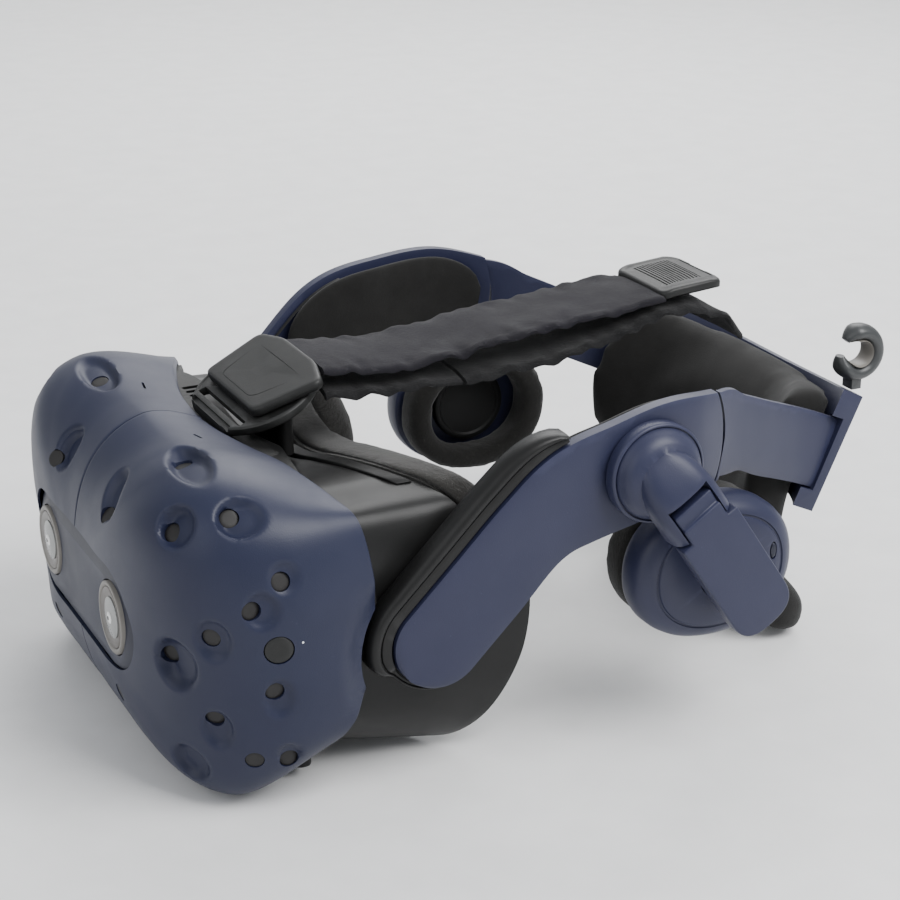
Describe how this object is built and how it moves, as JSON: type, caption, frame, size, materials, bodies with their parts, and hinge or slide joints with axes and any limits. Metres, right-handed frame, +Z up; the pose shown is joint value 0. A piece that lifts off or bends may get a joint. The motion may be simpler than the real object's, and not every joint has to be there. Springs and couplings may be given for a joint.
{
  "type": "vr headset",
  "caption": "Head-worn display with a two-part dimpled visor, tracking windows, foam face frame, rigid side arms with on-ear speakers, geared rear cradle and a soft top strap.",
  "frame": {"origin": "middle of the footprint on the surface that the headset stands on", "axes": "+Y towards the back of the head, +X the wearer's left, +Z up"},
  "size_m": [0.2272, 0.2836, 0.1276],
  "materials": {
    "navy": "fine matte navy moulding",
    "navy_dark": "matte blue-grey front plate",
    "black": "matte black moulding",
    "grey": "dark grey moulding",
    "window": "infrared-pass window and board",
    "foam": "fabric-faced foam",
    "fabric": "woven webbing",
    "rubber": "soft black rubber",
    "metal": "turned pin",
    "lens": "moulded lens",
    "board": "printed circuit board",
    "light": "light pipe"
  },
  "bodies": {
    "visor": {"front_shell_left": "navy", "front_shell_right": "navy", "status_light": "light", "sensor_board_left": "window", "sensor_board_right": "window", "camera_plate": "navy_dark", "camera_ring_left": "grey", "camera_ring_right": "grey", "camera_lens_left": "lens", "camera_lens_right": "lens", "mid_frame": "black", "main_board": "board", "proximity_sensor": "window", "display_left": "grey", "display_right": "grey"},
    "lens_left": {"lens_barrel_left": "black", "eye_lens_left": "lens"},
    "lens_right": {"lens_barrel_right": "black", "eye_lens_right": "lens"},
    "system_button": {"system_button": "grey"},
    "ipd_knob": {"ipd_knob": "grey"},
    "relief_button": {"relief_button": "grey"},
    "face_frame": {"face_frame": "black", "face_foam": "foam", "nose_flap": "rubber", "strap_base": "black", "strap_stem": "black", "strap_buckle": "grey", "hinge_pin_left": "metal", "hinge_pin_right": "metal", "strap_lower_front": "fabric"},
    "side_arms": {"arm_cover_left": "navy", "arm_bracket_left": "black", "temple_pad_left": "foam", "rack_band_left": "navy", "arm_cover_right": "navy", "arm_bracket_right": "black", "temple_pad_right": "foam", "rack_band_right": "navy"},
    "swing_left": {"pivot_hub_left": "navy"},
    "boom_left": {"boom_left": "navy"},
    "cup_left": {"cup_shell_left": "navy", "ear_driver_left": "grey", "ear_cushion_left": "foam"},
    "swing_right": {"pivot_hub_right": "navy"},
    "boom_right": {"boom_right": "navy"},
    "cup_right": {"cup_shell_right": "navy", "ear_driver_right": "grey", "ear_cushion_right": "foam"},
    "volume_up_button": {"volume_up_button": "navy_dark"},
    "volume_down_button": {"volume_down_button": "navy_dark"},
    "mute_button": {"mute_button": "navy_dark"},
    "rear_unit": {"rear_housing": "navy", "rear_pad": "foam", "cable_clip": "grey", "strap_lower_rear": "fabric", "strap_upper": "fabric", "strap_tab": "grey"},
    "dial": {"size_dial": "grey"}
  },
  "joints": [
    {"name": "eye_relief", "type": "slide", "parent": "visor", "child": "face_frame", "axis": [0, 1, 0], "range_m": [0, 0.01]},
    {"name": "arm_tilt", "type": "hinge", "parent": "face_frame", "child": "side_arms", "pos_m": [0, -0.05313, 0.04663], "axis": [1, 0, 0], "range_deg": [-12, 20], "deforming": ["strap_lower_front", "strap_lower_rear", "strap_upper"]},
    {"name": "rear_slide", "type": "slide", "parent": "side_arms", "child": "rear_unit", "axis": [0, 0.907, -0.421], "range_m": [0, 0.016], "deforming": ["rack_band_left", "rack_band_right"]},
    {"name": "dial_turn", "type": "hinge", "parent": "rear_unit", "child": "dial", "pos_m": [0, 0.11871, 0.07041], "axis": [0, 0.907, -0.421], "range_deg": [0, 116]},
    {"name": "lens_left", "type": "slide", "parent": "visor", "child": "lens_left", "axis": [1, 0, 0], "range_m": [-0.0016, 0.0047]},
    {"name": "lens_right", "type": "slide", "parent": "visor", "child": "lens_right", "axis": [1, 0, 0], "range_m": [-0.0047, 0.0016]},
    {"name": "ipd_knob_turn", "type": "hinge", "parent": "visor", "child": "ipd_knob", "pos_m": [-0.05, -0.09113, 0.01063], "axis": [0, 0, 1], "range_deg": [-75, 217]},
    {"name": "system_press", "type": "slide", "parent": "visor", "child": "system_button", "axis": [-0.9689, 0.2427, 0.0479], "range_m": [0, 0.0008], "stiffness_N_per_m": 400},
    {"name": "relief_press", "type": "slide", "parent": "visor", "child": "relief_button", "axis": [0, 0, 1], "range_m": [0, 0.0015], "stiffness_N_per_m": 400},
    {"name": "swing_left", "type": "hinge", "parent": "side_arms", "child": "swing_left", "pos_m": [0.1, 0.01687, 0.09563], "axis": [1, 0, 0], "range_deg": [-28, 0]},
    {"name": "boom_flip_left", "type": "hinge", "parent": "swing_left", "child": "boom_left", "pos_m": [0.111, 0.02358, 0.08568], "axis": [0, -0.8291, -0.5591], "range_deg": [0, 30]},
    {"name": "cup_tilt_left", "type": "hinge", "parent": "boom_left", "child": "cup_left", "pos_m": [0.093, 0.0437, 0.05584], "axis": [0, 1, 0], "range_deg": [-5, 5]},
    {"name": "swing_right", "type": "hinge", "parent": "side_arms", "child": "swing_right", "pos_m": [-0.1, 0.01187, 0.09763], "axis": [1, 0, 0], "range_deg": [-28, 0]},
    {"name": "boom_flip_right", "type": "hinge", "parent": "swing_right", "child": "boom_right", "pos_m": [-0.111, 0.01858, 0.08768], "axis": [0, 0.8291, 0.5591], "range_deg": [0, 30]},
    {"name": "cup_tilt_right", "type": "hinge", "parent": "boom_right", "child": "cup_right", "pos_m": [-0.093, 0.0387, 0.05784], "axis": [0, 1, 0], "range_deg": [-5, 5]},
    {"name": "volume_up_press", "type": "slide", "parent": "cup_left", "child": "volume_up_button", "axis": [-1, 0, 0], "range_m": [0, 0.0008], "stiffness_N_per_m": 400},
    {"name": "volume_down_press", "type": "slide", "parent": "cup_left", "child": "volume_down_button", "axis": [-1, 0, 0], "range_m": [0, 0.0008], "stiffness_N_per_m": 400},
    {"name": "mute_press", "type": "slide", "parent": "cup_right", "child": "mute_button", "axis": [1, 0, 0], "range_m": [0, 0.0008], "stiffness_N_per_m": 400}
  ],
  "couplings": [
    {"joint": "dial_turn", "follows": "rear_slide", "rad_per_m": 125},
    {"joint": "lens_right", "follows": "lens_left", "ratio": -1},
    {"joint": "ipd_knob_turn", "follows": "lens_left", "rad_per_m": 800}
  ]
}
